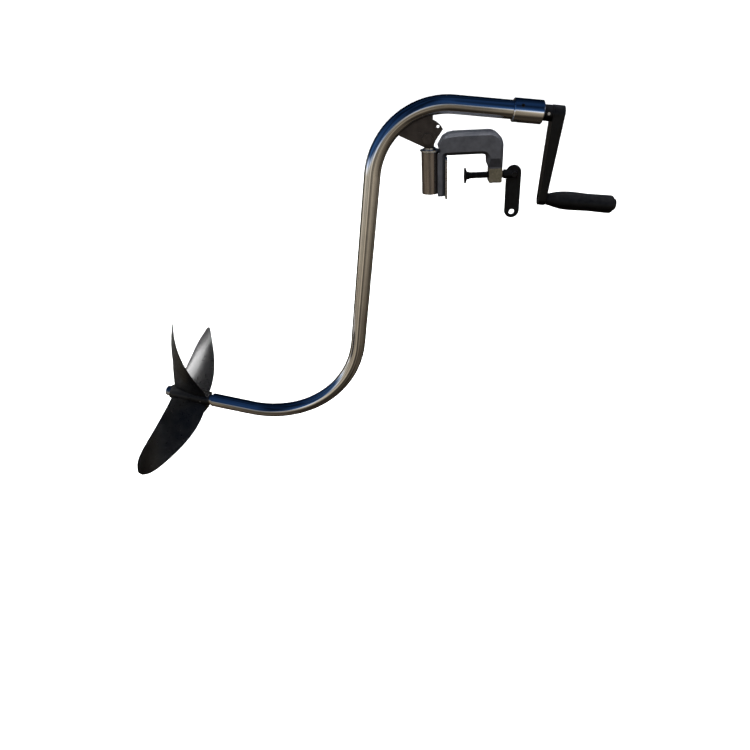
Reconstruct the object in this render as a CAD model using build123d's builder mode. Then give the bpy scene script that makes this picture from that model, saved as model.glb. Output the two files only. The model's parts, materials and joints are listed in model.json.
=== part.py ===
"""Hand-cranked outboard drive on a transom clamp, in millimetres.

A bent steel tube carries a flexible shaft from a hand crank to a four-blade propeller. The
tube tilts on a sector plate, steers in the clamp's swivel tube, and a clamp screw with a
hinged lever holds the bracket on a boat's transom.

Frame: the origin is the middle of the fixed jaw's face. +X points into the boat, towards the
crank, +Z is up, and the bent tube lies in the plane Y = 0.
"""

import os
from math import cos, radians, sin

from build123d import *

os.makedirs("parts", exist_ok=True)

# Drive tube: one piece, bent twice in the plane Y = 0
TUBE_RADIUS = 12.5
TUBE_BORE = 10.5
CRANK_AXIS_X = 93.5  # zero point of distances along the crank axis
CRANK_AXIS_Z = 86.7
CRANK_SLOPE = 7.3  # degrees that the crank axis falls towards the crank
UPPER_RUN = 84.2
UPPER_BEND = 107.3
DROP_SLOPE = 81.2  # degrees below horizontal of the long leg
DROP_RUN = 285.6
LOWER_BEND = 165.6
LOWER_RUN = 71.3
PROP_SLOPE = 17.0  # degrees that the propeller axis rises towards the propeller

# Fits
FIT = 0.05  # radial clearance of a shaft in its bush
GAP = 0.3  # space between faces of different bodies
SHAFT_RADIUS = 5.0
BUSH_LENGTH = 16.0
FERRULE_RADIUS = 7.5
FERRULE_GRIP = 10.0  # how far a shaft goes into its ferrule
FERRULE_START = 1.5  # from the cable's end to its ferrule
FERRULE_GAP = 0.5
CABLE_TRIM = 43.0  # the cable stops this far short of each end of the tube
CABLE_RADIUS = 4.0
LINER_RADIUS = 6.5
LINER_BORE = 4.5

# Crank end, as distances along the crank axis
TUBE_END = 20.0
COLLAR_START = -2.0
COLLAR_END = 40.0
COLLAR_RADIUS = 15.8
COLLAR_CHAMFER = 1.2
SET_SCREW_STATION = 9.0
SET_SCREW_RADIUS = 2.5
SET_SCREW_LENGTH = 3.0
SET_SCREW_SOCKET = (1.4, 1.6)  # radius over the corners, depth
SET_SCREW_TURNS = (90, 210)  # degrees from local X about the crank axis
WASHER_GAP = 0.2
HUB_START = 41.4
HUB_RADIUS = 10.7
KEY_STATION = 47.0
KEY_RADIUS = 2.0
ARM_START = 53.4
ARM_BACK = 70.0
ARM_TIP_START = 59.3
ARM_TIP_RADIUS = 9.5
ARM_SKIN = 4.0  # left over the crank shaft's end
ARM_FILLET = 1.5
CRANK_THROW = 118.0
GRIP_START = 71.0
GRIP_END = 176.0
GRIP_RADIUS = 13.3
GRIP_NECK = 8.6
GRIP_WELL = 8.2  # well in the grip's end for the spindle nut
GRIP_WELL_START = 160.0
GRIP_SWELL = ((9.0, 10.2), (28.0, 13.3), (60.0, 12.8))  # distance from the start, radius
GRIP_CROWN = (8.0, 5.0, 75.0)  # length and radius of the rounded end, degrees that it turns
SPINDLE_RADIUS = 4.0
SPINDLE_END = 169.0
SPINDLE_NUT = (7.4, 6.0)  # radius over the corners, height
SPINDLE_WASHER = 1.6
CAP_START = 171.5
CAP_PROUD = 0.5
CAP_FILLET = 2.0

# Propeller, as distances along the propeller axis from the tube's end
HUB_FRONT = 6.0
HUB_REAR = 76.0
PROP_HUB_RADIUS = 14.5
PROP_PIN_STATION = 20.0
PROP_PIN_RADIUS = 2.0
SEAL_LENGTH = 5.0
SHAFT_TIP = 82.0
THRUST_WASHER = (11.5, 9.0)  # radii of its flange and its boss
PROP_WASHER = (10.0, 1.5)  # radius, thickness
PROP_NUT = (9.6, 8.0, 5.5)  # radius, height, rounding
PROP_RADIUS = 170.0
BLADE_COUNT = 4
BLADE_PHASE = 62.3  # degrees of the first blade from straight up
BLADE_STATION = 41.0
ROOT_PITCH = 88.0  # degrees between the chord and the plane of rotation
TIP_PITCH = 19.5
RAKE = (-19.0, 29.0)  # aft shift: factors of the radius fraction and of its square
SWEEP = (4.0, 36.5)  # shift along the chord, in the same form
BLADE_SHAPE = (  # fraction of the radius, chord, thickness, camber
    (0.08, 62.0, 8.0, 0.6),
    (0.25, 64.0, 6.6, 3.7),
    (0.45, 63.0, 5.4, 7.4),
    (0.65, 59.0, 4.3, 7.0),
    (0.82, 53.0, 3.4, 4.3),
    (0.93, 41.0, 2.6, 2.2),
    (1.0, 14.0, 1.8, 1.4),
)

# Clamp
SWIVEL_X = -24.5
SWIVEL_TOP = 36.0
SWIVEL_BOTTOM = -23.0
SWIVEL_RADIUS = 12.3
SWIVEL_BORE = 7.5
SWIVEL_POCKET = 10.2  # wider bore below, which hides the steering pin's retainer
POCKET_DEPTH = 8.0
BUSH_DEPTH = 14.0
BUSH_FLANGE = 1.4
JAW_HALF_HEIGHT = 29.8
JAW_HALF_WIDTH = 17.0
JAW_THICKNESS = 3.0
JAW_ROUNDING = 3.0
RIVET_HEIGHT = 20.0
RIVET_HOLE = 2.5
RIVET_DEPTH = 8.0
RIVET_FLARE = 1.8
RIVET_SUNK = 0.2
FRAME_HALF_WIDTH = 15.0
FRAME_TOP = 62.0
FRAME_UNDER = 31.7
FRAME_FRONT = 80.0
FRAME_INNER = 57.0
FRAME_FOOT = -25.5
FRAME_BACK = (  # outline from the foot, past the steering head, to the beam's top: X and Z
    (-14.0, FRAME_FOOT),
    (-14.0, 35.0),
    (-9.8, 36.2),
    (-9.8, 40.5),
    (-13.0, 43.5),
    (-6.0, 55.5),
    (1.0, 60.5),
    (10.0, FRAME_TOP),
)
FRAME_KNEE = (58.0, 17.0)  # where the front leg starts to narrow to the screw's block
FRAME_TAPER = 28.0  # height from which the front leg's sides close in
FRAME_CHAMFER = 4.5
JAW_CORNER = 1.6
INSIDE_RADIUS = 8.0
OUTSIDE_RADIUS = 21.0
BLOCK_START = 61.0
BLOCK_END = 80.0
BLOCK_HALF = 10.4
BLOCK_CHAMFER = 1.5
SCREW_RADIUS = 5.0
SCREW_NOSE = 3.0
PAD_FACE = 26.0
PAD_RIM = 2.0
PAD_BACK = 33.0
PAD_RADIUS = 11.2
PAD_SOCKET = 5.0
PAD_NECK = 5.6
PAD_FLARE = (10.2, 2.0)  # radius at the rim, length
NOSE_GAP = 0.4
LEVER_X = 98.3
LEVER_RADIUS = 11.2
LEVER_UP = 12.6
LEVER_DOWN = 65.3
LEVER_HALF = 2.0
LEVER_HOLE = 4.2
LEVER_HOLE_DROP = 56.3
LEVER_FILLET = 0.8
FORK_RADIUS = 6.5
FORK_START = 83.2
FORK_SLOT = 85.6
FORK_END = 104.0
FORK_CHAMFER = 1.5
RIVET_RADIUS = 2.5
RIVET_HEAD = (3.8, 1.6)  # radius, height

# Steering pin, from its flange down to the retainer in the swivel tube's pocket
THRUST_GAP = 0.1
THRUST_THICKNESS = 1.7
THRUST_RIM = 1.8
PIN_FLANGE = (8.5, 2.8)  # radius, thickness
PIN_CHAMFER = 0.8
RETAINER = (8.8, 1.6)  # radius, thickness
CLIP = (7.4, 1.2)  # radius, thickness
CLIP_GROOVE = 0.8

# Tilt joint between the steering head and the drive tube
PIVOT_X = -28.0
PIVOT_Z = 55.0
PIVOT_BOLT = 4.0
SECTOR_RADIUS = 25.0
SECTOR_HALF = 2.5
SECTOR_FOOT = 6.0  # half the width of its foot on the steering pin's flange
SECTOR_FLARE = (-17.5, 7.0)  # X, and height above the foot, where its front edge turns
SECTOR_FRONT = (-1.0, 72.0)  # where its front edge turns upright
SECTOR_BACK = (-36.0, 50.0)
SECTOR_HOLE_X = -12.4
SECTOR_HOLE_Z = 69.6
SECTOR_HOLE = 2.2
CHEEK_THICKNESS = 3.0
CHEEK_OUTLINE = (  # X and Z; the tube cuts it off above
    (-84.0, 68.2),
    (-33.5, 43.6),
    (-20.0, 46.0),
    (-16.0, 56.0),
    (-19.5, 67.0),
    (-19.5, 100.0),
    (-84.0, 100.0),
)
CHEEK_BOSS = 12.5
CHEEK_LAP = 1.2  # how far it reaches past the tube's inner edge
STOP_X = -38.4
STOP_Z = 62.0
STOP_RADIUS = 2.0
STOP_PROUD = 0.8
BOLT_HEX = (6.5, 5.0)  # half the width over the flats, height of the head
NUT_HEIGHT = 6.5
TILT_WASHER = (8.0, 1.4)  # radius, thickness
BOLT_PROUD = 1.5


def save(block, name):
    block.part.label = name
    export_step(block.part, f"parts/{name}.step")


def ring(plane, outer, inner, length):
    """Round sleeve standing on a plane."""
    with BuildSketch(plane) as section:
        Circle(outer)
        Circle(inner, mode=Mode.SUBTRACT)
    extrude(section.sketch, amount=length)


def rod(plane, radius, length, mode=Mode.ADD):
    """Round bar, or hole, standing on a plane."""
    with BuildSketch(plane) as section:
        Circle(radius)
    extrude(section.sketch, amount=length, mode=mode)


def side_plane(y):
    """Plane parallel to the bent tube's plane; its local Y points up and it faces -Y."""
    return Plane.XZ.offset(-y)


crank_dir = Vector(cos(radians(CRANK_SLOPE)), 0, -sin(radians(CRANK_SLOPE)))
crank_origin = Vector(CRANK_AXIS_X, 0, CRANK_AXIS_Z)


def crank_plane(distance, drop=0):
    """Plane across the crank axis; its local Y points up, away from the hanging grip."""
    here = Plane(origin=crank_origin + crank_dir * distance, x_dir=(0, 1, 0), z_dir=crank_dir)
    return Plane(origin=here.origin - here.y_dir * drop, x_dir=(0, 1, 0), z_dir=crank_dir)


# ---------------------------------------------------------------- drive tube
route_start = crank_plane(TUBE_END).origin
heading = (-crank_dir.X, -crank_dir.Z)
with BuildLine(Plane.XZ) as route:
    upper = PolarLine((route_start.X, route_start.Z), UPPER_RUN + TUBE_END, direction=heading)
    bend = JernArc(upper @ 1, upper % 1, UPPER_BEND, DROP_SLOPE + CRANK_SLOPE)
    drop = PolarLine(bend @ 1, DROP_RUN, direction=bend % 1)
    rise = JernArc(drop @ 1, drop % 1, LOWER_BEND, -(DROP_SLOPE + PROP_SLOPE))
    lower = PolarLine(rise @ 1, LOWER_RUN, direction=rise % 1)
prop_origin = lower @ 1
prop_dir = lower % 1
bend_center = bend.arc_center


def prop_plane(distance):
    """Plane across the propeller axis, facing away from the tube."""
    return Plane(origin=prop_origin + prop_dir * distance, x_dir=(0, 1, 0), z_dir=prop_dir)


with BuildPart() as main_tube:
    with BuildSketch(crank_plane(TUBE_END)):
        Circle(TUBE_RADIUS)
        Circle(TUBE_BORE, mode=Mode.SUBTRACT)
    sweep(path=route.line)
save(main_tube, "main_tube")

with BuildLine() as cable_route:
    Line(upper @ (CABLE_TRIM / (UPPER_RUN + TUBE_END)), upper @ 1)
    add(bend)
    add(drop)
    add(rise)
    Line(lower @ 0, lower @ (1 - CABLE_TRIM / LOWER_RUN))
with BuildPart() as shaft_liner:
    with BuildSketch(crank_plane(TUBE_END - CABLE_TRIM)):
        Circle(LINER_RADIUS)
        Circle(LINER_BORE, mode=Mode.SUBTRACT)
    sweep(path=cable_route.line)
save(shaft_liner, "shaft_liner")
with BuildPart() as flexible_shaft:
    with BuildSketch(crank_plane(TUBE_END - CABLE_TRIM)):
        Circle(CABLE_RADIUS)
    sweep(path=cable_route.line)
save(flexible_shaft, "flexible_shaft")

# ---------------------------------------------------------------- collar and crank bushes


def collar_screw_plane(turn):
    """Plane touching the tube under a collar set screw, facing outward."""
    here = crank_plane(SET_SCREW_STATION)
    outward = here.x_dir * cos(radians(turn)) - here.y_dir * sin(radians(turn))
    return Plane(origin=here.origin + outward * TUBE_RADIUS, x_dir=crank_dir, z_dir=outward)


with BuildPart() as collar:
    ring(crank_plane(COLLAR_START), COLLAR_RADIUS, TUBE_RADIUS, TUBE_END - COLLAR_START)
    ring(crank_plane(TUBE_END), COLLAR_RADIUS, TUBE_BORE, COLLAR_END - TUBE_END)
    rims = collar.edges().filter_by(GeomType.CIRCLE).group_by(SortBy.RADIUS)[-1]
    chamfer(rims.filter_by(lambda e: e.center() != crank_plane(TUBE_END).origin), COLLAR_CHAMFER)
    for screw_turn in SET_SCREW_TURNS:
        rod(collar_screw_plane(screw_turn), SET_SCREW_RADIUS, COLLAR_RADIUS, Mode.SUBTRACT)
save(collar, "collar")
with BuildPart() as collar_screws:
    for screw_turn in SET_SCREW_TURNS:
        rod(collar_screw_plane(screw_turn), SET_SCREW_RADIUS, SET_SCREW_LENGTH)
        with BuildSketch(collar_screw_plane(screw_turn).offset(SET_SCREW_LENGTH)):
            RegularPolygon(SET_SCREW_SOCKET[0], 6)
        extrude(amount=-SET_SCREW_SOCKET[1], mode=Mode.SUBTRACT)
save(collar_screws, "collar_screws")
with BuildPart() as crank_bush_inner:
    ring(crank_plane(TUBE_END - BUSH_LENGTH), TUBE_BORE, SHAFT_RADIUS + FIT, BUSH_LENGTH)
save(crank_bush_inner, "crank_bush_inner")
with BuildPart() as crank_bush_outer:
    ring(crank_plane(COLLAR_END - BUSH_LENGTH), TUBE_BORE, SHAFT_RADIUS + FIT, BUSH_LENGTH)
save(crank_bush_outer, "crank_bush_outer")

# ---------------------------------------------------------------- crank
FERRULE_FAR = TUBE_END - CABLE_TRIM + FERRULE_START
FERRULE_NEAR = TUBE_END - BUSH_LENGTH - FERRULE_GAP
CRANK_SHAFT_START = FERRULE_NEAR - FERRULE_GRIP
CRANK_SHAFT_END = ARM_BACK - ARM_SKIN
WASHER_START = COLLAR_END + WASHER_GAP
with BuildPart() as upper_ferrule:
    rod(crank_plane(FERRULE_FAR), FERRULE_RADIUS, FERRULE_NEAR - FERRULE_FAR)
    rod(crank_plane(FERRULE_NEAR), SHAFT_RADIUS, -FERRULE_GRIP, Mode.SUBTRACT)
save(upper_ferrule, "upper_ferrule")
key_plane = Plane(origin=crank_plane(KEY_STATION).origin, x_dir=crank_dir, z_dir=(0, 1, 0))
with BuildPart() as crank_shaft:
    rod(crank_plane(CRANK_SHAFT_START), SHAFT_RADIUS, CRANK_SHAFT_END - CRANK_SHAFT_START)
    with BuildSketch(key_plane):
        Circle(KEY_RADIUS)
    extrude(amount=HUB_RADIUS + 1, both=True, mode=Mode.SUBTRACT)
save(crank_shaft, "crank_shaft")
with BuildPart() as crank_washer:
    ring(crank_plane(WASHER_START), HUB_RADIUS - 0.7, SHAFT_RADIUS, HUB_START - WASHER_START)
save(crank_washer, "crank_washer")
with BuildPart() as crank_arm:
    with BuildSketch(crank_plane(ARM_START)):
        Circle(HUB_RADIUS + 0.6)
        with Locations((0, -CRANK_THROW)):
            Circle(ARM_TIP_RADIUS)
        make_hull()
    extrude(amount=ARM_BACK - ARM_START)
    fillet(crank_arm.faces().sort_by(Axis(crank_origin, crank_dir))[-1].edges(), ARM_FILLET)
    taper_plane = Plane(origin=crank_origin, x_dir=crank_dir, z_dir=(0, -1, 0))
    with BuildSketch(taper_plane):
        with BuildLine():
            Polyline(
                (ARM_START - 1, HUB_RADIUS),
                (ARM_START, -HUB_RADIUS),
                (ARM_TIP_START, -CRANK_THROW - ARM_TIP_RADIUS),
                (ARM_TIP_START, -CRANK_THROW - ARM_TIP_RADIUS - 5),
                (ARM_START - 1, -CRANK_THROW - ARM_TIP_RADIUS - 5),
                close=True,
            )
        make_face()
    extrude(amount=HUB_RADIUS + 5, both=True, mode=Mode.SUBTRACT)
    rod(crank_plane(HUB_START), HUB_RADIUS, ARM_START - HUB_START + 1)
    rod(crank_plane(HUB_START), SHAFT_RADIUS, CRANK_SHAFT_END - HUB_START, Mode.SUBTRACT)
    rod(crank_plane(ARM_START, CRANK_THROW), SPINDLE_RADIUS, ARM_BACK, Mode.SUBTRACT)
    with BuildSketch(key_plane):
        Circle(KEY_RADIUS)
    extrude(amount=HUB_RADIUS + 1, both=True, mode=Mode.SUBTRACT)
save(crank_arm, "crank_arm")
with BuildPart() as crank_pin:
    with BuildSketch(key_plane):
        Circle(KEY_RADIUS)
    extrude(amount=HUB_RADIUS - 0.3, both=True)
save(crank_pin, "crank_pin")

# ---------------------------------------------------------------- crank grip
SPINDLE_START = ARM_TIP_START + 0.5
SPINDLE_WASHER_START = GRIP_WELL_START + 0.4
NUT_START = SPINDLE_WASHER_START + SPINDLE_WASHER
with BuildPart() as grip_spindle:
    rod(crank_plane(SPINDLE_START, CRANK_THROW), SPINDLE_RADIUS, SPINDLE_END - SPINDLE_START)
save(grip_spindle, "grip_spindle")
with BuildPart() as spindle_washer:
    washer_plane = crank_plane(SPINDLE_WASHER_START, CRANK_THROW)
    ring(washer_plane, SPINDLE_NUT[0], SPINDLE_RADIUS, SPINDLE_WASHER)
save(spindle_washer, "spindle_washer")
with BuildPart() as spindle_nut:
    with BuildSketch(crank_plane(NUT_START, CRANK_THROW)):
        RegularPolygon(SPINDLE_NUT[0], 6)
        Circle(SPINDLE_RADIUS, mode=Mode.SUBTRACT)
    extrude(amount=SPINDLE_NUT[1])
save(spindle_nut, "spindle_nut")
grip_profile = Plane(origin=crank_plane(0, CRANK_THROW).origin, x_dir=crank_dir, z_dir=(0, -1, 0))
with BuildPart() as grip:
    with BuildSketch(grip_profile):
        with BuildLine():
            bore = SPINDLE_RADIUS + FIT
            crown_length, crown_radius, crown_turn = GRIP_CROWN
            crown = (GRIP_END - crown_length, GRIP_RADIUS)
            neck = (GRIP_START, GRIP_NECK)
            swell = [(GRIP_START + along, radius) for along, radius in GRIP_SWELL]
            Spline(neck, *swell, crown, tangents=((1, 0), (1, 0)))
            rounding = JernArc(crown, (1, 0), crown_radius, -crown_turn)
            Polyline(
                rounding @ 1,
                (GRIP_END, GRIP_WELL),
                (GRIP_WELL_START, GRIP_WELL),
                (GRIP_WELL_START, bore),
                (GRIP_START, bore),
                neck,
            )
        make_face()
    revolve(axis=Axis(grip_profile.origin, crank_dir))
save(grip, "grip")
with BuildPart() as grip_cap:
    rod(crank_plane(CAP_START, CRANK_THROW), GRIP_WELL, GRIP_END + CAP_PROUD - CAP_START)
    fillet(grip_cap.faces().sort_by(Axis(crank_origin, crank_dir))[-1].edges(), CAP_FILLET)
save(grip_cap, "grip_cap")

# ---------------------------------------------------------------- propeller end
BUSH_START = -SEAL_LENGTH - 1 - BUSH_LENGTH
LOWER_FERRULE_START = FERRULE_START - CABLE_TRIM
LOWER_FERRULE_END = BUSH_START - FERRULE_GAP
PROP_SHAFT_START = LOWER_FERRULE_END - FERRULE_GRIP
with BuildPart() as prop_bush:
    ring(prop_plane(BUSH_START), TUBE_BORE, SHAFT_RADIUS + FIT, BUSH_LENGTH)
save(prop_bush, "prop_bush")
with BuildPart() as shaft_seal:
    ring(prop_plane(-SEAL_LENGTH), TUBE_BORE, SHAFT_RADIUS + FIT, SEAL_LENGTH)
save(shaft_seal, "shaft_seal")
with BuildPart() as lower_ferrule:
    rod(prop_plane(LOWER_FERRULE_START), FERRULE_RADIUS, LOWER_FERRULE_END - LOWER_FERRULE_START)
    rod(prop_plane(LOWER_FERRULE_END), SHAFT_RADIUS, -FERRULE_GRIP, Mode.SUBTRACT)
save(lower_ferrule, "lower_ferrule")
prop_pin_plane = Plane(
    origin=prop_plane(PROP_PIN_STATION).origin, x_dir=prop_dir, z_dir=(0, 1, 0)
)
with BuildPart() as prop_shaft:
    rod(prop_plane(PROP_SHAFT_START), SHAFT_RADIUS, SHAFT_TIP - PROP_SHAFT_START)
    with BuildSketch(prop_pin_plane):
        Circle(PROP_PIN_RADIUS)
    extrude(amount=PROP_HUB_RADIUS + 2, both=True, mode=Mode.SUBTRACT)
save(prop_shaft, "prop_shaft")
with BuildPart() as prop_thrust_washer:
    ring(prop_plane(0.5), THRUST_WASHER[0], SHAFT_RADIUS, 1.5)
    ring(prop_plane(2.0), THRUST_WASHER[1], SHAFT_RADIUS, HUB_FRONT - 2.0)
save(prop_thrust_washer, "prop_thrust_washer")


def blade_section(turn, fraction):
    """Plane of a blade's section: its local X runs along the chord, its normal outward."""
    here = prop_plane(BLADE_STATION + RAKE[0] * fraction + RAKE[1] * fraction**2)
    outward = here.x_dir * sin(radians(turn)) - here.y_dir * cos(radians(turn))
    across = here.x_dir * cos(radians(turn)) + here.y_dir * sin(radians(turn))
    pitch = radians(TIP_PITCH + (ROOT_PITCH - TIP_PITCH) * (1 - fraction))
    chord = across * cos(pitch) + prop_dir * sin(pitch)
    sweep_back = chord * (SWEEP[0] * fraction + SWEEP[1] * fraction**2)
    middle = here.origin + outward * (PROP_RADIUS * fraction) + sweep_back
    return Plane(origin=middle, x_dir=chord, z_dir=outward)


with BuildPart() as propeller:
    with BuildSketch(Plane(origin=prop_origin, x_dir=prop_dir, z_dir=(0, -1, 0))):
        with BuildLine():
            Polyline(
                (HUB_FRONT, PROP_HUB_RADIUS - 1),
                (HUB_FRONT, SHAFT_RADIUS),
                (HUB_REAR, SHAFT_RADIUS),
                (HUB_REAR, PROP_HUB_RADIUS - 2),
            )
            ThreePointArc(
                (HUB_REAR, PROP_HUB_RADIUS - 2),
                ((HUB_FRONT + HUB_REAR) / 2, PROP_HUB_RADIUS),
                (HUB_FRONT, PROP_HUB_RADIUS - 1),
            )
        make_face()
    revolve(axis=Axis(prop_origin, prop_dir))
    for blade in range(BLADE_COUNT):
        blade_turn = BLADE_PHASE + blade * 360 / BLADE_COUNT
        for fraction, chord, thickness, camber in BLADE_SHAPE:
            with BuildSketch(blade_section(blade_turn, fraction)):
                with BuildLine():
                    ThreePointArc((-chord / 2, 0), (0, camber + thickness / 2), (chord / 2, 0))
                    ThreePointArc((-chord / 2, 0), (0, camber - thickness / 2), (chord / 2, 0))
                make_face()
        loft()
    rod(prop_plane(HUB_FRONT - 1), SHAFT_RADIUS, HUB_REAR - HUB_FRONT + 2, Mode.SUBTRACT)
    with BuildSketch(prop_pin_plane):
        Circle(PROP_PIN_RADIUS)
    extrude(amount=PROP_HUB_RADIUS + 2, both=True, mode=Mode.SUBTRACT)
save(propeller, "propeller")
with BuildPart() as prop_pin:
    with BuildSketch(prop_pin_plane):
        Circle(PROP_PIN_RADIUS)
    extrude(amount=PROP_HUB_RADIUS - 1.5, both=True)
save(prop_pin, "prop_pin")
with BuildPart() as prop_washer:
    ring(prop_plane(HUB_REAR), PROP_WASHER[0], SHAFT_RADIUS, PROP_WASHER[1])
save(prop_washer, "prop_washer")
NUT_BASE = HUB_REAR + PROP_WASHER[1]
with BuildPart() as prop_nut:
    rod(prop_plane(NUT_BASE), PROP_NUT[0], PROP_NUT[1])
    fillet(prop_nut.faces().sort_by(Axis(prop_origin, prop_dir))[-1].edges(), PROP_NUT[2])
    rod(prop_plane(NUT_BASE), SHAFT_RADIUS, SHAFT_TIP - NUT_BASE, Mode.SUBTRACT)
save(prop_nut, "prop_nut")

# ---------------------------------------------------------------- clamp frame and jaw
FRAME_HEEL = FRAME_BACK[0]
with BuildPart() as clamp_frame:
    with BuildSketch(Plane.XZ):
        with BuildLine():
            back = Polyline(*FRAME_BACK, (FRAME_FRONT - OUTSIDE_RADIUS, FRAME_TOP))
            shoulder = JernArc(back @ 1, (1, 0), OUTSIDE_RADIUS, -90)
            Polyline(
                shoulder @ 1,
                (BLOCK_END, BLOCK_HALF),
                (BLOCK_START, BLOCK_HALF),
                FRAME_KNEE,
                (FRAME_INNER, FRAME_UNDER),
                (-JAW_THICKNESS, FRAME_UNDER),
                (-JAW_THICKNESS, FRAME_FOOT),
                FRAME_HEEL,
            )
        make_face()
    extrude(amount=FRAME_HALF_WIDTH, both=True)
    upright = clamp_frame.edges().filter_by(Axis.Y)
    fillet(upright.sort_by_distance((-JAW_THICKNESS, 0, FRAME_UNDER))[0], JAW_CORNER)
    upright = clamp_frame.edges().filter_by(Axis.Y)
    fillet(upright.sort_by_distance((FRAME_INNER, 0, FRAME_UNDER))[0], INSIDE_RADIUS)
    outline = clamp_frame.edges().filter_by(
        lambda e: abs(abs(e.center().Y) - FRAME_HALF_WIDTH) < 0.01
    )
    beam = outline.filter_by(lambda e: e.center().Z > BLOCK_HALF + 1 and e.center().X > -1)
    chamfer(beam, FRAME_CHAMFER)
    with BuildSketch(Plane.YZ.offset(BLOCK_START - 10)):
        for side in (-1, 1):
            with BuildLine():
                Polyline(
                    (side * (FRAME_HALF_WIDTH + 1), FRAME_TAPER),
                    (side * (FRAME_HALF_WIDTH + 1), BLOCK_HALF - 1),
                    (side * BLOCK_HALF, BLOCK_HALF - 1),
                    (side * BLOCK_HALF, BLOCK_HALF + 2),
                    close=True,
                )
            make_face()
    extrude(amount=40, mode=Mode.SUBTRACT)
    with BuildSketch(Plane.XY.offset(FRAME_FOOT - 1)):
        with Locations((SWIVEL_X, 0)):
            Circle(SWIVEL_RADIUS)
    extrude(amount=SWIVEL_TOP - FRAME_FOOT + 1, mode=Mode.SUBTRACT)
    for height in (-RIVET_HEIGHT, RIVET_HEIGHT):
        rivet_plane = Plane(origin=(-JAW_THICKNESS, 0, height), z_dir=(-1, 0, 0))
        rod(rivet_plane, RIVET_HOLE, RIVET_DEPTH, Mode.SUBTRACT)
save(clamp_frame, "clamp_frame")
with BuildPart() as jaw_plate:
    with BuildSketch(Plane.YZ):
        RectangleRounded(2 * JAW_HALF_WIDTH, 2 * JAW_HALF_HEIGHT, JAW_ROUNDING)
    extrude(amount=-JAW_THICKNESS)
    for height in (-RIVET_HEIGHT, RIVET_HEIGHT):
        with BuildSketch(Plane.YZ):
            with Locations((0, height)):
                Circle(RIVET_HOLE)
        extrude(amount=-JAW_THICKNESS, mode=Mode.SUBTRACT)
        with BuildSketch(Plane.YZ):
            with Locations((0, height)):
                Circle(RIVET_HOLE + RIVET_FLARE + RIVET_SUNK)
        extrude(amount=-RIVET_FLARE - RIVET_SUNK, taper=45, mode=Mode.SUBTRACT)
save(jaw_plate, "jaw_plate")
with BuildPart() as jaw_rivets:
    for height in (-RIVET_HEIGHT, RIVET_HEIGHT):
        with BuildSketch(Plane.YZ.offset(-RIVET_SUNK)):
            with Locations((0, height)):
                Circle(RIVET_HOLE)
        extrude(amount=-(JAW_THICKNESS + RIVET_DEPTH - 1.2))
        with BuildSketch(Plane.YZ.offset(-RIVET_SUNK)):
            with Locations((0, height)):
                Circle(RIVET_HOLE + RIVET_FLARE)
        extrude(amount=-RIVET_FLARE, taper=45)
save(jaw_rivets, "jaw_rivets")
with BuildPart() as screw_insert:
    with BuildSketch(Plane.YZ.offset(BLOCK_START)):
        Rectangle(2 * BLOCK_HALF, 2 * BLOCK_HALF)
    extrude(amount=BLOCK_END - BLOCK_START)
    foot = screw_insert.edges().filter_by(lambda e: e.center().Z < 0.5 - BLOCK_HALF)
    chamfer(foot, BLOCK_CHAMFER)
    rod(Plane.YZ.offset(BLOCK_START), SCREW_RADIUS + FIT, BLOCK_END - BLOCK_START, Mode.SUBTRACT)
save(screw_insert, "screw_insert")

# ---------------------------------------------------------------- clamp screw, pad and lever
with BuildPart() as clamp_pad:
    rod(Plane.YZ.offset(PAD_FACE), PAD_RADIUS, PAD_RIM)
    with BuildSketch(Plane.YZ.offset(PAD_FACE + PAD_RIM)):
        Circle(PAD_FLARE[0])
    with BuildSketch(Plane.YZ.offset(PAD_FACE + PAD_RIM + PAD_FLARE[1])):
        Circle(PAD_NECK)
    loft()
    rod(Plane.YZ.offset(PAD_FACE + PAD_RIM), PAD_NECK, PAD_BACK - PAD_FACE - PAD_RIM)
    rod(Plane.YZ.offset(PAD_BACK), SCREW_NOSE + FIT, -PAD_SOCKET, Mode.SUBTRACT)
save(clamp_pad, "clamp_pad")
with BuildPart() as clamp_screw:
    rod(Plane.YZ.offset(PAD_BACK + GAP), SCREW_NOSE, NOSE_GAP - PAD_SOCKET)
    rod(Plane.YZ.offset(PAD_BACK + GAP), SCREW_RADIUS, FORK_START - PAD_BACK - GAP)
save(clamp_screw, "clamp_screw")
with BuildPart() as screw_fork:
    rod(Plane.YZ.offset(FORK_START), FORK_RADIUS, FORK_END - FORK_START)
    chamfer(screw_fork.faces().sort_by(Axis.X)[-1].edges(), FORK_CHAMFER)
    with BuildSketch(Plane.XY):
        with Locations((FORK_SLOT + 20, 0)):
            Rectangle(40, 2 * (LEVER_HALF + GAP))
    extrude(amount=20, both=True, mode=Mode.SUBTRACT)
    with BuildSketch(Plane.XZ):
        with Locations((LEVER_X, 0)):
            Circle(RIVET_RADIUS)
    extrude(amount=20, both=True, mode=Mode.SUBTRACT)
save(screw_fork, "screw_fork")
with BuildPart() as lever_rivet:
    for side in (-1, 1):
        rod(Plane(origin=(LEVER_X, 0, 0), z_dir=(0, side, 0)), RIVET_RADIUS, FORK_RADIUS + 0.4)
        rod(Plane(origin=(LEVER_X, side * FORK_RADIUS, 0), z_dir=(0, side, 0)), *RIVET_HEAD)
save(lever_rivet, "lever_rivet")
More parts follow.
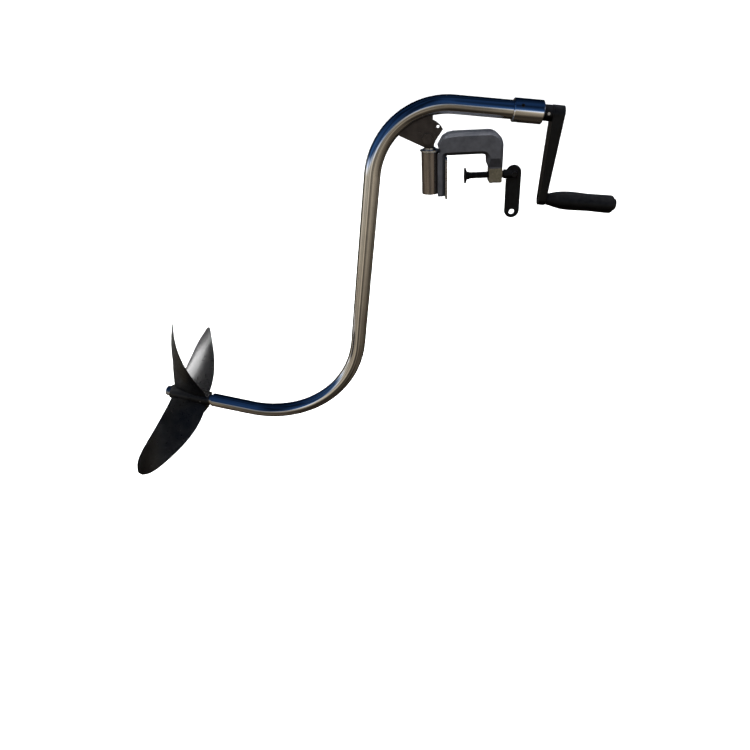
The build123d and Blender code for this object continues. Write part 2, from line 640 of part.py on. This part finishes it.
with BuildPart() as clamp_lever:
    with BuildSketch(Plane.XZ):
        with Locations((LEVER_X, LEVER_UP - LEVER_RADIUS), (LEVER_X, LEVER_RADIUS - LEVER_DOWN)):
            Circle(LEVER_RADIUS)
        make_hull()
        with Locations((LEVER_X, -LEVER_HOLE_DROP)):
            Circle(LEVER_HOLE, mode=Mode.SUBTRACT)
        with Locations((LEVER_X, 0)):
            Circle(RIVET_RADIUS + FIT, mode=Mode.SUBTRACT)
    extrude(amount=LEVER_HALF, both=True)
    outline = clamp_lever.edges().filter_by(lambda e: abs(abs(e.center().Y) - LEVER_HALF) < 0.01)
    fillet(outline.filter_by(lambda e: e.length > LEVER_RADIUS * 2.5), LEVER_FILLET)
save(clamp_lever, "clamp_lever")

# ---------------------------------------------------------------- swivel tube and steering head
THRUST_BASE = SWIVEL_TOP + BUSH_FLANGE + THRUST_GAP
HEAD_BASE = THRUST_BASE + THRUST_THICKNESS
PLATE_BASE = HEAD_BASE + PIN_FLANGE[1]
POCKET_TOP = SWIVEL_BOTTOM + POCKET_DEPTH
RETAINER_TOP = POCKET_TOP - BUSH_FLANGE - WASHER_GAP
CLIP_TOP = RETAINER_TOP - RETAINER[1]
PIN_END = SWIVEL_BOTTOM + 1


def swivel_plane(height):
    return Plane.XY.offset(height).shift_origin((SWIVEL_X, 0, height))


with BuildPart() as swivel_tube:
    ring(swivel_plane(SWIVEL_BOTTOM), SWIVEL_RADIUS, SWIVEL_POCKET, POCKET_DEPTH)
    ring(swivel_plane(POCKET_TOP), SWIVEL_RADIUS, SWIVEL_BORE, SWIVEL_TOP - POCKET_TOP)
save(swivel_tube, "swivel_tube")
with BuildPart() as swivel_bush_top:
    ring(swivel_plane(SWIVEL_TOP), SWIVEL_BORE, SHAFT_RADIUS + FIT, -BUSH_DEPTH)
    ring(swivel_plane(SWIVEL_TOP), SWIVEL_RADIUS - 0.6, SHAFT_RADIUS + FIT, BUSH_FLANGE)
save(swivel_bush_top, "swivel_bush_top")
with BuildPart() as swivel_bush_bottom:
    ring(swivel_plane(POCKET_TOP), SWIVEL_BORE, SHAFT_RADIUS + FIT, BUSH_DEPTH)
    ring(swivel_plane(POCKET_TOP), SWIVEL_POCKET - 0.6, SHAFT_RADIUS + FIT, -BUSH_FLANGE)
save(swivel_bush_bottom, "swivel_bush_bottom")
with BuildPart() as thrust_washer:
    ring(swivel_plane(THRUST_BASE), SWIVEL_RADIUS + THRUST_RIM, SHAFT_RADIUS, THRUST_THICKNESS)
save(thrust_washer, "thrust_washer")
with BuildPart() as steering_pin:
    rod(swivel_plane(PIN_END), SHAFT_RADIUS, HEAD_BASE - PIN_END)
    rod(swivel_plane(HEAD_BASE), *PIN_FLANGE)
    chamfer(steering_pin.faces().sort_by(Axis.Z)[0].edges(), PIN_CHAMFER)
    with BuildSketch(swivel_plane(CLIP_TOP)) as groove:
        Circle(SHAFT_RADIUS + 1)
        Circle(SHAFT_RADIUS - CLIP_GROOVE, mode=Mode.SUBTRACT)
    extrude(groove.sketch, amount=-CLIP[1], mode=Mode.SUBTRACT)
save(steering_pin, "steering_pin")
with BuildPart() as steering_washer:
    ring(swivel_plane(RETAINER_TOP), RETAINER[0], SHAFT_RADIUS, -RETAINER[1])
save(steering_washer, "steering_washer")
with BuildPart() as steering_clip:
    ring(swivel_plane(CLIP_TOP), CLIP[0], SHAFT_RADIUS - CLIP_GROOVE, -CLIP[1])
save(steering_clip, "steering_clip")
with BuildPart() as sector_plate:
    with BuildSketch(Plane.XZ):
        with BuildLine():
            Polyline(
                (SWIVEL_X - SECTOR_FOOT, PLATE_BASE),
                (SWIVEL_X + SECTOR_FOOT, PLATE_BASE),
                (SECTOR_FLARE[0], PLATE_BASE + SECTOR_FLARE[1]),
                SECTOR_FRONT,
                (SECTOR_FRONT[0], PIVOT_Z + SECTOR_RADIUS + 1),
                (SECTOR_BACK[0], PIVOT_Z + SECTOR_RADIUS + 1),
                SECTOR_BACK,
                close=True,
            )
        make_face()
        with Locations((PIVOT_X, PIVOT_Z)):
            Circle(SECTOR_RADIUS, mode=Mode.INTERSECT)
            Circle(PIVOT_BOLT + FIT, mode=Mode.SUBTRACT)
        with Locations((SECTOR_HOLE_X, SECTOR_HOLE_Z)):
            Circle(SECTOR_HOLE, mode=Mode.SUBTRACT)
    extrude(amount=SECTOR_HALF, both=True)
save(sector_plate, "sector_plate")

# ---------------------------------------------------------------- tilt cheeks under the tube
CHEEK_INNER = SECTOR_HALF + GAP
CHEEK_OUTER = CHEEK_INNER + CHEEK_THICKNESS
for side, name in ((-1, "gusset_near"), (1, "gusset_far")):
    with BuildPart() as gusset:
        with BuildSketch(side_plane(side * CHEEK_INNER)):
            with BuildLine():
                Polyline(*CHEEK_OUTLINE, close=True)
            make_face()
            with Locations((PIVOT_X, PIVOT_Z)):
                Circle(CHEEK_BOSS)
            with Locations((bend_center.X, bend_center.Z)):
                Circle(UPPER_BEND - TUBE_RADIUS + CHEEK_LAP, mode=Mode.INTERSECT)
        extrude(amount=-side * CHEEK_THICKNESS)
        with BuildSketch(side_plane(side * CHEEK_INNER)):
            with Locations((PIVOT_X, PIVOT_Z)):
                Circle(PIVOT_BOLT)
            with Locations((STOP_X, STOP_Z)):
                Circle(STOP_RADIUS)
        extrude(amount=-side * CHEEK_THICKNESS, mode=Mode.SUBTRACT)
        with BuildSketch(crank_plane(TUBE_END)):
            Circle(TUBE_RADIUS)
        sweep(path=route.line, mode=Mode.SUBTRACT)
    save(gusset, name)
with BuildPart() as tilt_stop_pin:
    with BuildSketch(Plane.XZ):
        with Locations((STOP_X, STOP_Z)):
            Circle(STOP_RADIUS)
    extrude(amount=CHEEK_OUTER + STOP_PROUD, both=True)
save(tilt_stop_pin, "tilt_stop_pin")
STACK = CHEEK_OUTER + TILT_WASHER[1]  # half the thickness between the bolt's head and its nut
with BuildPart() as tilt_bolt:
    near_face = side_plane(-STACK).shift_origin((PIVOT_X, -STACK, PIVOT_Z))
    with BuildSketch(near_face):
        RegularPolygon(BOLT_HEX[0], 6, major_radius=False)
    extrude(amount=BOLT_HEX[1])
    rod(near_face, PIVOT_BOLT, -(2 * STACK + NUT_HEIGHT + BOLT_PROUD))
save(tilt_bolt, "tilt_bolt")
with BuildPart() as tilt_washers:
    for side in (-1, 1):
        here = Plane(origin=(PIVOT_X, side * CHEEK_OUTER, PIVOT_Z), z_dir=(0, side, 0))
        ring(here, TILT_WASHER[0], PIVOT_BOLT, TILT_WASHER[1])
save(tilt_washers, "tilt_washers")
with BuildPart() as tilt_nut:
    with BuildSketch(Plane(origin=(PIVOT_X, STACK, PIVOT_Z), z_dir=(0, 1, 0))):
        RegularPolygon(BOLT_HEX[0], 6, major_radius=False)
        Circle(PIVOT_BOLT, mode=Mode.SUBTRACT)
    extrude(amount=NUT_HEIGHT)
save(tilt_nut, "tilt_nut")
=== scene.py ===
"""Looks of the hand-cranked outboard drive: materials, screw thread, floor, light and camera."""

import json
from math import cos, pi, radians, sin

import bmesh
import bpy
from mathutils import Matrix, Vector


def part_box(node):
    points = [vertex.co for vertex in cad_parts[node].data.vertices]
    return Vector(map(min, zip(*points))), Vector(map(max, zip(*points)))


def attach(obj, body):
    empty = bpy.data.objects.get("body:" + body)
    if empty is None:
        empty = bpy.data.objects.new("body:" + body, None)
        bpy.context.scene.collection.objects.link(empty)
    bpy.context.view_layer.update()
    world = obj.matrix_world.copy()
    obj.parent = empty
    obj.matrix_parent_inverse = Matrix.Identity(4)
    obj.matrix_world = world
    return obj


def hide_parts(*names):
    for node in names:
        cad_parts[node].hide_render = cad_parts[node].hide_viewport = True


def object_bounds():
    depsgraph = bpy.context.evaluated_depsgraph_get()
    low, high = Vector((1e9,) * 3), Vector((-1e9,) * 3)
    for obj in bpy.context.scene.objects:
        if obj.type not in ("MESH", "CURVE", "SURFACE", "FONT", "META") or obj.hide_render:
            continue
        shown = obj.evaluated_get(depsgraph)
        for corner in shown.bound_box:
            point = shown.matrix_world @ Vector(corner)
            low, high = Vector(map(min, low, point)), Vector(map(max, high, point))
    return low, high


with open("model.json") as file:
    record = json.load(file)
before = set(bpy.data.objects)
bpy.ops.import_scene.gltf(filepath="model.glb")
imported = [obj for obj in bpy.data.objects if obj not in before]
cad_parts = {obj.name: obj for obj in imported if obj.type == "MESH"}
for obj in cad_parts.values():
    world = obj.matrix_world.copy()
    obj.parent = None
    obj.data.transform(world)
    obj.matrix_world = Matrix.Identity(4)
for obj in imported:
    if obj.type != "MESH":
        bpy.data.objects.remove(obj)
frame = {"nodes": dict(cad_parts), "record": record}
cad_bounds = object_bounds()

MM = 0.001

# ---------------------------------------------------------------- material building blocks


def colour_ramp(tree, stops):
    """Ramp node through (position, colour) stops, where a plain number is a grey."""
    node = tree.nodes.new("ShaderNodeValToRGB")
    elements = node.color_ramp.elements
    while len(elements) < len(stops):
        elements.new(0.5)
    for element, (position, colour) in zip(elements, stops):
        if isinstance(colour, float):
            colour = (colour, colour, colour)
        element.position = position
        element.color = (*colour, 1)
    return node


class Look:
    """One material and the few node groups that every material here is made from."""

    def __init__(self, name, **shader_values):
        self.material = bpy.data.materials.new(name)
        self.material.use_nodes = True
        self.tree = self.material.node_tree
        self.shader = self.tree.nodes["Principled BSDF"]
        for socket, value in shader_values.items():
            self.shader.inputs[socket.replace("_", " ")].default_value = value
        self.place = self.tree.nodes.new("ShaderNodeTexCoord").outputs["Object"]

    def link(self, output, target):
        self.tree.links.new(output, target)

    def noise(self, size_mm, detail=4.0, stretch=(1, 1, 1), roughness=0.55):
        """Noise whose patches are about size_mm across; a stretch above 1 draws it out along that axis."""
        mapping = self.tree.nodes.new("ShaderNodeMapping")
        mapping.inputs["Scale"].default_value = [1 / s for s in stretch]
        self.link(self.place, mapping.inputs["Vector"])
        node = self.tree.nodes.new("ShaderNodeTexNoise")
        node.inputs["Scale"].default_value = 1 / (size_mm * MM)
        node.inputs["Detail"].default_value = detail
        node.inputs["Roughness"].default_value = roughness
        self.link(mapping.outputs["Vector"], node.inputs["Vector"])
        return node.outputs["Fac"]

    def ramp(self, value, *stops):
        """Colour or grey that follows a value through the stops."""
        node = colour_ramp(self.tree, stops)
        self.link(value, node.inputs["Fac"])
        return node.outputs["Color"]

    def colour(self, value, *stops):
        self.link(self.ramp(value, *stops), self.shader.inputs["Base Color"])

    def roughness(self, value, low, high):
        self.link(self.ramp(value, (0.3, low), (0.7, high)), self.shader.inputs["Roughness"])

    def bump(self, height, depth_mm, strength=1.0):
        node = self.tree.nodes.new("ShaderNodeBump")
        node.inputs["Distance"].default_value = depth_mm * MM
        node.inputs["Strength"].default_value = strength
        self.link(height, node.inputs["Height"])
        previous = self.shader.inputs["Normal"].links
        if previous:
            self.link(previous[0].from_socket, node.inputs["Normal"])
        self.link(node.outputs["Normal"], self.shader.inputs["Normal"])


# ---------------------------------------------------------------- materials, one per slot


def polished_steel():
    look = Look("polished_steel", Metallic=1.0)
    look.colour(look.noise(30, detail=3), (0.3, (0.74, 0.75, 0.77)), (0.7, (0.86, 0.87, 0.88)))
    look.roughness(look.noise(6, detail=6), 0.05, 0.12)
    look.bump(look.noise(14, detail=2), 0.05, 0.35)
    look.bump(look.noise(0.5, detail=3), 0.004, 0.25)
    return look.material


def cast_body():
    """Satin die casting: cloudy grey, with the fine pebble of the mould."""
    look = Look("cast_body", Metallic=0.25, Specular_IOR_Level=0.6)
    look.colour(look.noise(9, detail=6), (0.3, (0.060, 0.063, 0.073)), (0.7, (0.098, 0.102, 0.116)))
    look.roughness(look.noise(3, detail=5), 0.30, 0.44)
    look.bump(look.noise(1.4, detail=5), 0.08, 0.35)
    return look.material


def dark_steel():
    look = Look("dark_steel", Metallic=0.7)
    look.colour(look.noise(8, detail=5), (0.3, (0.050, 0.042, 0.037)), (0.7, (0.085, 0.072, 0.064)))
    look.roughness(look.noise(5, detail=4), 0.28, 0.42)
    look.bump(look.noise(2, detail=4), 0.03, 0.3)
    return look.material


def plated_steel():
    """Plating painted warm grey-brown as painted reflection of the tan ground, with faint streaks of
    painted reflection along the swivel tube.
    """
    look = Look("plated_steel", Metallic=0.9)
    # painted reflection: upright light and dark streaks and the brown tone stand in for the ground and
    # bands the plating mirrors
    reflection_streaks = look.noise(4, detail=4, stretch=(1, 1, 12))
    look.colour(reflection_streaks, (0.3, (0.20, 0.170, 0.150)), (0.7, (0.33, 0.290, 0.255)))
    look.roughness(look.noise(3, detail=4, stretch=(1, 1, 6)), 0.24, 0.36)
    look.bump(look.noise(1.5, detail=3), 0.015, 0.3)
    return look.material


def zinc_steel():
    look = Look("zinc_steel", Metallic=1.0)
    look.colour(look.noise(4, detail=5), (0.3, (0.52, 0.53, 0.54)), (0.7, (0.70, 0.70, 0.69)))
    look.roughness(look.noise(1.5, detail=5), 0.22, 0.38)
    look.bump(look.noise(0.8, detail=3), 0.02, 0.4)
    return look.material


def black_steel():
    look = Look("black_steel", Specular_IOR_Level=0.18)
    look.colour(look.noise(5, detail=5), (0.3, (0.0020, 0.0020, 0.0023)), (0.7, (0.006, 0.006, 0.0066)))
    look.roughness(look.noise(2.5, detail=5), 0.30, 0.46)
    look.bump(look.noise(1.0, detail=4), 0.02, 0.35)
    return look.material


def brass_insert():
    look = Look("brass_insert", Metallic=0.9)
    look.colour(look.noise(3, detail=5), (0.3, (0.20, 0.19, 0.14)), (0.7, (0.34, 0.32, 0.25)))
    look.roughness(look.noise(1.5, detail=4), 0.30, 0.45)
    look.bump(look.noise(0.8, detail=3), 0.02, 0.4)
    return look.material


def crank_paint():
    look = Look("crank_paint", Specular_IOR_Level=0.2)
    look.colour(look.noise(8, detail=4), (0.3, (0.0018, 0.0018, 0.0021)), (0.7, (0.005, 0.005, 0.0056)))
    look.roughness(look.noise(3, detail=4), 0.30, 0.44)
    look.bump(look.noise(0.7, detail=3), 0.03, 0.4)
    return look.material


def grip_plastic():
    look = Look("grip_plastic", Specular_IOR_Level=0.2)
    look.colour(look.noise(5, detail=4), (0.3, (0.0020, 0.0020, 0.0023)), (0.7, (0.0055, 0.0055, 0.006)))
    look.roughness(look.noise(2, detail=4), 0.38, 0.54)
    look.bump(look.noise(0.45, detail=3), 0.03, 0.5)
    return look.material


def propeller_plastic():
    """Satin black moulding; a slow waviness breaks up its highlights."""
    look = Look("propeller_plastic", Specular_IOR_Level=0.35, Coat_Weight=0.1, Coat_Roughness=0.2)
    look.colour(look.noise(14, detail=5), (0.3, (0.0015, 0.0015, 0.0018)), (0.7, (0.005, 0.0048, 0.0045)))
    look.roughness(look.noise(4, detail=8, roughness=0.7), 0.22, 0.46)
    look.bump(look.noise(9, detail=5), 0.16, 0.45)
    look.bump(look.noise(0.8, detail=3), 0.008, 0.35)
    return look.material


def nylon():
    look = Look("nylon", Subsurface_Weight=0.15, Subsurface_Scale=0.002)
    look.colour(look.noise(4, detail=4), (0.3, (0.66, 0.64, 0.58)), (0.7, (0.78, 0.76, 0.70)))
    look.roughness(look.noise(2, detail=4), 0.42, 0.56)
    look.bump(look.noise(0.6, detail=3), 0.02, 0.4)
    return look.material


def seal_rubber():
    look = Look("seal_rubber")
    look.colour(look.noise(2, detail=4), (0.3, (0.018, 0.018, 0.018)), (0.7, (0.035, 0.034, 0.033)))
    look.roughness(look.noise(1, detail=4), 0.65, 0.85)
    look.bump(look.noise(0.4, detail=3), 0.03, 0.5)
    return look.material


def dress_nodes():
    """Gives every CAD node the finished material of its slot."""
    makers = (
        polished_steel,
        cast_body,
        dark_steel,
        plated_steel,
        zinc_steel,
        black_steel,
        brass_insert,
        crank_paint,
        grip_plastic,
        propeller_plastic,
        nylon,
        seal_rubber,
    )
    finished = {make.__name__: make() for make in makers}
    for row in frame["record"]["subparts"]:
        mesh = frame["nodes"][row["node"]].data
        mesh.materials.clear()
        mesh.materials.append(finished[row["material_slot"]])
    return finished


# ---------------------------------------------------------------- clamp screw with its thread


def add_rings(mesh, rings):
    """Joins rings of points with smooth faces; its rows of vertices come back for the ends."""
    rows = [[mesh.verts.new(point) for point in ring] for ring in rings]
    count = len(rows[0])
    for row, following in zip(rows, rows[1:]):
        for i in range(count):
            j = (i + 1) % count
            mesh.faces.new((row[i], row[j], following[j], following[i])).smooth = True
    return rows


def threaded_screw(look):
    """The clamp screw with a real trapezoid thread, inside the plain rod of the CAD."""
    pitch, depth, around, steps_per_turn = 2.0 * MM, 0.8 * MM, 48, 10
    flat, flank = 0.3, 0.4  # shares of half the pitch: the crest's flat, then the sloped flank
    end_chamfer, chamfer_steps = 0.6 * MM, 4
    inset = 0.02 * MM  # keeps the crest inside the plain rod
    pad_gap, nose_share = 0.3 * MM, 0.6  # space behind the pad; the nose's radius beside the crest's
    low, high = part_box("clamp_screw")
    crest = (high.z - low.z) / 2
    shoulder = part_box("clamp_pad")[1].x + pad_gap
    steps = round((high.x - shoulder) / pitch * steps_per_turn)

    def point(x, radius, turn):
        return (x, radius * cos(turn), radius * sin(turn))

    def thread_depth(phase):
        """0 on the crest, 1 in the root, with sloped flanks."""
        wave = abs(2 * (phase % 1) - 1)
        return min(1, max(0, (wave - flat) / flank))

    turns = [2 * pi * i / around for i in range(around)]
    nose = nose_share * crest
    rings = [[point(x, nose, t) for t in turns] for x in (low.x, shoulder)]
    for step in range(steps + 1):
        x = shoulder + (high.x - shoulder) * step / steps
        fade = min(1, step / steps_per_turn, (steps - step) / steps_per_turn)
        ring = []
        for turn in turns:
            cut = depth * fade * thread_depth((x - shoulder) / pitch - turn / (2 * pi))
            chamfer = end_chamfer * max(0, 1 - step / chamfer_steps)
            ring.append(point(x, crest - inset - max(cut, chamfer), turn))
        rings.append(ring)
    data = bpy.data.meshes.new("clamp_screw_thread")
    mesh = bmesh.new()
    rows = add_rings(mesh, rings)
    mesh.faces.new(rows[0][::-1])
    mesh.faces.new(rows[-1])
    bmesh.ops.recalc_face_normals(mesh, faces=mesh.faces)
    mesh.to_mesh(data)
    mesh.free()
    data.materials.append(look)
    screw = bpy.data.objects.new("clamp_screw_thread", data)
    bpy.context.scene.collection.objects.link(screw)
    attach(screw, "screw")
    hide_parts("clamp_screw")


# ---------------------------------------------------------------- floor, light and camera


def pale_floor():
    """Round pale floor that curves up into a wall all round, a little under the propeller."""
    look = Look("floor", Roughness=0.9)
    look.colour(look.noise(400, detail=3), (0.3, (0.93, 0.93, 0.93)), (0.7, (0.96, 0.96, 0.96)))
    reach, bend, wall, gap = 9.0, 4.0, 7.0, 0.03
    around, bend_steps = 96, 24
    bottom = cad_bounds[0].z - gap
    profile = [((reach - bend) * k / 4, 0) for k in (1, 2, 3)]
    for step in range(bend_steps + 1):
        angle = pi / 2 * step / bend_steps
        profile.append((reach - bend + bend * sin(angle), bend * (1 - cos(angle))))
    profile.append((reach, wall))
    turns = [2 * pi * i / around for i in range(around)]
    mesh = bmesh.new()
    rows = add_rings(mesh, [[(r * cos(t), r * sin(t), bottom + h) for t in turns] for r, h in profile])
    mesh.faces.new(rows[0])
    data = bpy.data.meshes.new("floor")
    mesh.to_mesh(data)
    mesh.free()
    data.materials.append(look.material)
    floor = bpy.data.objects.new("floor", data)
    bpy.context.scene.collection.objects.link(floor)
    floor.visible_glossy = False
    floor.visible_diffuse = False


SKY = (  # height of the direction, from 0 straight down to 1 straight up, and its colour
    (0.00, (0.034, 0.026, 0.018)),
    (0.20, (0.120, 0.096, 0.068)),
    (0.38, (0.390, 0.328, 0.245)),
    (0.475, (0.610, 0.545, 0.440)),
    (0.495, (0.90, 0.88, 0.84)),
    (0.53, (0.62, 0.72, 0.90)),
    (0.59, (0.030, 0.078, 0.190)),
    (0.80, (0.009, 0.027, 0.078)),
    (1.00, (0.006, 0.018, 0.050)),
)
PATCH_SCALE = 2.6  # of the sky's upright patches
PATCH_RANGE = (0.38, 0.62)  # of the noise, from the darkest to the lightest patch
PATCH_STRENGTH = (0.25, 1.5)  # of the darkest and the lightest patch
BEHIND_RANGE = (0, 0.6)  # of the direction's +Y part, over which the far side darkens
BEHIND_STRENGTH = 0.15  # of the far side, behind the object


def map_range(tree, value, source, target=(0, 1)):
    """Value moved from its source range to the target range."""
    node = tree.nodes.new("ShaderNodeMapRange")
    for socket, number in zip(("From Min", "From Max", "To Min", "To Max"), (*source, *target)):
        node.inputs[socket].default_value = number
    tree.links.new(value, node.inputs["Value"])
    return node.outputs["Result"]


def sky_and_ground():
    """World light: dark blue overhead, a bright horizon and tan ground, as polished steel shows them."""
    world = bpy.data.worlds.new("sky")
    world.use_nodes = True
    tree = world.node_tree
    background = tree.nodes["Background"]
    direction = tree.nodes.new("ShaderNodeTexCoord").outputs["Generated"]
    split = tree.nodes.new("ShaderNodeSeparateXYZ")
    tree.links.new(direction, split.inputs["Vector"])

    ramp = colour_ramp(tree, SKY)
    tree.links.new(map_range(tree, split.outputs["Z"], (-1, 1)), ramp.inputs["Fac"])
    tree.links.new(ramp.outputs["Color"], background.inputs["Color"])

    flatten = tree.nodes.new("ShaderNodeMapping")
    flatten.inputs["Scale"].default_value = (1, 1, 0.12)
    tree.links.new(direction, flatten.inputs["Vector"])
    patches = tree.nodes.new("ShaderNodeTexNoise")
    patches.inputs["Scale"].default_value = PATCH_SCALE
    patches.inputs["Detail"].default_value = 3
    tree.links.new(flatten.outputs["Vector"], patches.inputs["Vector"])

    strength = tree.nodes.new("ShaderNodeMath")
    strength.operation = "MULTIPLY"
    patchy = map_range(tree, patches.outputs["Fac"], PATCH_RANGE, PATCH_STRENGTH)
    behind = map_range(tree, split.outputs["Y"], BEHIND_RANGE, (1, BEHIND_STRENGTH))
    tree.links.new(patchy, strength.inputs[0])
    tree.links.new(behind, strength.inputs[1])
    tree.links.new(strength.outputs["Value"], background.inputs["Strength"])
    bpy.context.scene.world = world


def area_light(name, offset, aim, size, power, mirrored=False):
    """Square light at an offset from the point it aims at; only a mirrored one shows in polish."""
    data = bpy.data.lights.new(name, "AREA")
    data.size = size
    data.energy = power
    lamp = bpy.data.objects.new(name, data)
    lamp.location = aim + Vector(offset)
    lamp.rotation_euler = (aim - lamp.location).to_track_quat("-Z", "Y").to_euler()
    lamp.visible_glossy = mirrored
    bpy.context.scene.collection.objects.link(lamp)
    return lamp


def studio_light():
    middle = (cad_bounds[0] + cad_bounds[1]) / 2
    propeller = sum(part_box("propeller"), Vector()) / 2
    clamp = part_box("clamp_frame")[1]
    area_light("key", (-1.6, -1.2, 3.0), middle, 1.0, 30)
    area_light("top", (0, 0.2, 1.5), clamp, 0.7, 60)
    area_light("rim", (-0.6, 2.4, 1.8), middle, 1.2, 14)
    area_light("overhead", (0, 0, 6.0), middle, 12.0, 1600)
    # the silver sheen on the upper blade, kept off the tube
    sheen = area_light("sheen", (-1.9, 0.2, 1.1), propeller, 2.4, 230, mirrored=True)
    lit = bpy.data.collections.new("lit_by_sheen")
    lit.objects.link(frame["nodes"]["propeller"])
    sheen.light_linking.receiver_collection = lit


def photo_camera():
    """Camera to the side of the clamp, a little above it and turned slightly about its own axis."""
    azimuth, elevation, roll = radians(2.15), radians(30.66), radians(-3.05)
    target = Vector((-0.0885, 0, -0.3020))
    distance = 0.9698
    forward = Vector(
        (-sin(azimuth) * cos(elevation), cos(azimuth) * cos(elevation), -sin(elevation))
    )
    level_right = Vector((cos(azimuth), sin(azimuth), 0))
    level_up = level_right.cross(forward)
    right = level_right * cos(roll) + level_up * sin(roll)
    up = level_up * cos(roll) - level_right * sin(roll)
    data = bpy.data.cameras.new("photo_camera")
    data.lens = 26.4
    data.sensor_width = 36.0
    data.shift_x = -0.0283
    data.shift_y = -0.0280
    camera = bpy.data.objects.new("photo_camera", data)
    axes = Matrix((right, up, -forward)).transposed()
    camera.matrix_world = Matrix.Translation(target - forward * distance) @ axes.to_4x4()
    bpy.context.scene.collection.objects.link(camera)
    bpy.context.scene.camera = camera
    bpy.context.scene.view_settings.view_transform = "Standard"


materials = dress_nodes()
threaded_screw(materials["black_steel"])
pale_floor()
sky_and_ground()
studio_light()
photo_camera()
